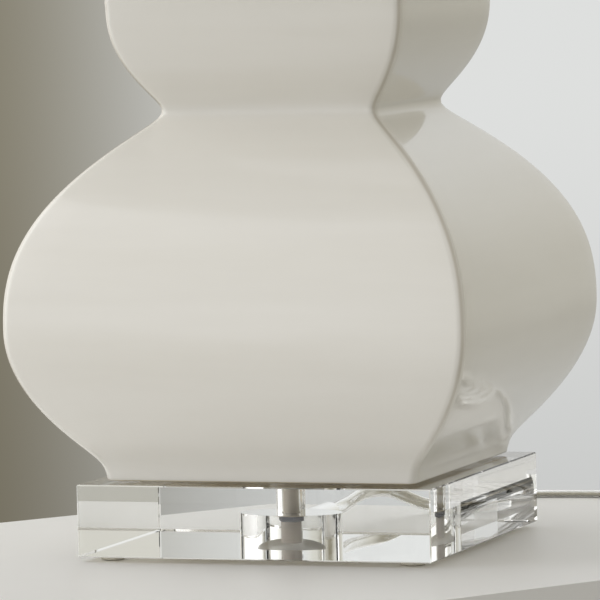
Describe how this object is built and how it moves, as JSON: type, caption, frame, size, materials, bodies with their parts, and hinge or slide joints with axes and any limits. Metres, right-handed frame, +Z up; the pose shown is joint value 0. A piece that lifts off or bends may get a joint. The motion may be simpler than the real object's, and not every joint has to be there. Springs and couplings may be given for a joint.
{
  "type": "gourd table lamp",
  "caption": "Square double-gourd table lamp in glossy pale glaze on a clear block, with harp, linen drum shade, ball finial, rotary switch and clear cord.",
  "frame": {"origin": "on the table, under the lamp's axis, at the undersides of the bumper feet", "axes": "+Z up along the pipe, -Y to the front where the switch knob points, +Y to the back where the cord leaves the block"},
  "size_m": [0.3861, 0.3802, 0.5931],
  "materials": {
    "glaze": "glossy warm white glaze",
    "clear_acrylic": "polished clear acrylic",
    "clear_bumper": "soft clear bumper",
    "dark_chrome": "dark chrome",
    "nylon": "moulded nylon",
    "pad_foam": "thin foam",
    "zinc_steel": "zinc-plated thread",
    "satin_nickel": "satin nickel",
    "wire_steel": "white-coated wire",
    "fibre_paper": "vulcanised fibre",
    "black_phenolic": "moulded phenolic",
    "brass": "plain brass",
    "solder": "solder",
    "bulb_metal": "drawn aluminium",
    "frosted_glass": "inside-frosted",
    "stem_glass": "clear stem with coated rods",
    "linen": "woven linen",
    "linen_trim": "folded linen tape",
    "styrene": "styrene liner",
    "clear_cord": "clear flat twin cord",
    "plug_plastic": "moulded vinyl",
    "tie_plastic": "coated tie"
  },
  "bodies": {
    "root": {"acrylic_block": "clear_acrylic", "bumper_feet": "clear_bumper", "block_washer": "dark_chrome", "base_nut": "dark_chrome", "cord_bushing": "nylon", "lamp_pipe": "zinc_steel", "body_pad": "pad_foam", "ceramic_body": "glaze", "vase_cap": "satin_nickel", "neck_ring": "satin_nickel", "harp_saddle": "satin_nickel", "socket_cap": "satin_nickel", "cap_set_screw": "zinc_steel", "socket_shell": "satin_nickel", "socket_liner": "fibre_paper", "switch_body": "black_phenolic", "terminal_screws": "brass", "screw_shell": "brass", "centre_contact": "brass", "inner_cord": "clear_cord", "cord_run": "clear_cord", "cord_coil": "clear_cord", "cord_tie": "tie_plastic", "cord_tail": "clear_cord", "plug_body": "plug_plastic", "plug_blades": "brass"},
    "knob": {"switch_shaft": "brass", "switch_knob": "black_phenolic"},
    "bulb_tip": {"bulb_tip": "solder"},
    "bulb": {"bulb_base": "bulb_metal", "bulb_glass": "frosted_glass", "bulb_stem": "stem_glass"},
    "harp": {"harp": "satin_nickel", "harp_stud": "satin_nickel"},
    "sleeve_left": {"harp_sleeve_left": "satin_nickel"},
    "sleeve_right": {"harp_sleeve_right": "satin_nickel"},
    "shade": {"shade_linen": "linen", "shade_liner": "styrene", "shade_top_trim": "linen_trim", "shade_bottom_trim": "linen_trim", "shade_bottom_ring": "wire_steel", "shade_spider": "wire_steel"},
    "finial_insert": {"finial_insert": "brass"},
    "finial": {"finial_base": "satin_nickel", "finial_ball": "clear_acrylic"}
  },
  "joints": [
    {"name": "switch_turn", "type": "hinge", "parent": "root", "child": "knob", "pos_m": [0, -0.02, 0.3494], "axis": [0, -1, 0], "continuous": true},
    {"name": "bulb_rise", "type": "slide", "parent": "root", "child": "bulb_tip", "axis": [0, 0, 1], "range_m": [0, 0.01099]},
    {"name": "bulb_turn", "type": "hinge", "parent": "bulb_tip", "child": "bulb", "pos_m": [0, 0, 0.4], "axis": [0, 0, 1], "range_deg": [0, 1080]},
    {"name": "harp_lift", "type": "slide", "parent": "root", "child": "harp", "axis": [0, 0, 1], "range_m": [0, 0.03]},
    {"name": "sleeve_left_lift", "type": "slide", "parent": "harp", "child": "sleeve_left", "axis": [0, 0, 1], "range_m": [0, 0.018]},
    {"name": "sleeve_right_lift", "type": "slide", "parent": "harp", "child": "sleeve_right", "axis": [0, 0, 1], "range_m": [0, 0.018]},
    {"name": "shade_turn", "type": "hinge", "parent": "harp", "child": "shade", "pos_m": [0, 0, 0.548], "axis": [0, 0, 1], "continuous": true},
    {"name": "finial_rise", "type": "slide", "parent": "harp", "child": "finial_insert", "axis": [0, 0, 1], "range_m": [0, 0.0104]},
    {"name": "finial_turn", "type": "hinge", "parent": "finial_insert", "child": "finial", "pos_m": [0, 0, 0.56], "axis": [0, 0, 1], "range_deg": [0, 3960]}
  ],
  "couplings": [
    {"joint": "bulb_rise", "follows": "bulb_turn", "m_per_rad": 0.00057773},
    {"joint": "finial_rise", "follows": "finial_turn", "m_per_rad": 0.00014976}
  ]
}
